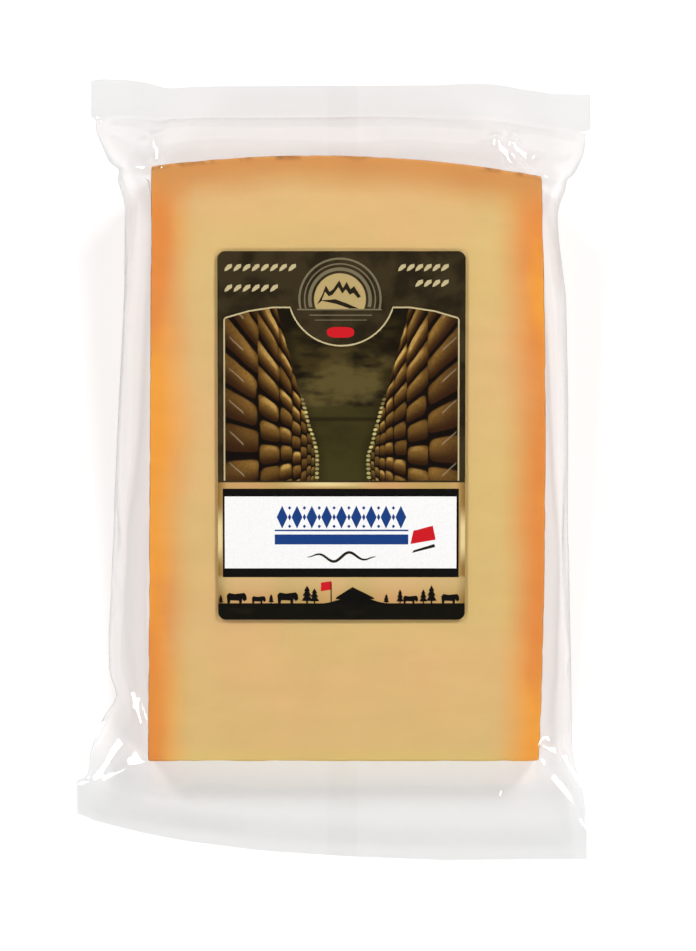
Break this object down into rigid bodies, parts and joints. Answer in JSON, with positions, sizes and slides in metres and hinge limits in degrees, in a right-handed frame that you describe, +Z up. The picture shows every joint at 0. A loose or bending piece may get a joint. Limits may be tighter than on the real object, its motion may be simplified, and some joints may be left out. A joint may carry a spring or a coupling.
{
  "type": "cheese wedge",
  "caption": "Wedge of hard mountain cheese lying flat in a clear sealed film pack, with a rectangular picture label stuck on its front.",
  "frame": {"origin": "centre of the pack's box in plan, on the surface that the pack lies on", "axes": "+X across the height of the wheel that the wedge was cut from, +Y from the narrow cut end to the heel, +Z up through the wedge's thickness to the label side"},
  "size_m": [0.14, 0.2109, 0.0312],
  "materials": {
    "cheese": "satin",
    "film": "gloss",
    "label": "satin"
  },
  "bodies": {
    "root": {"cheese_wedge": "cheese", "film_wrapper": "film", "front_label": "label"}
  },
  "joints": []
}
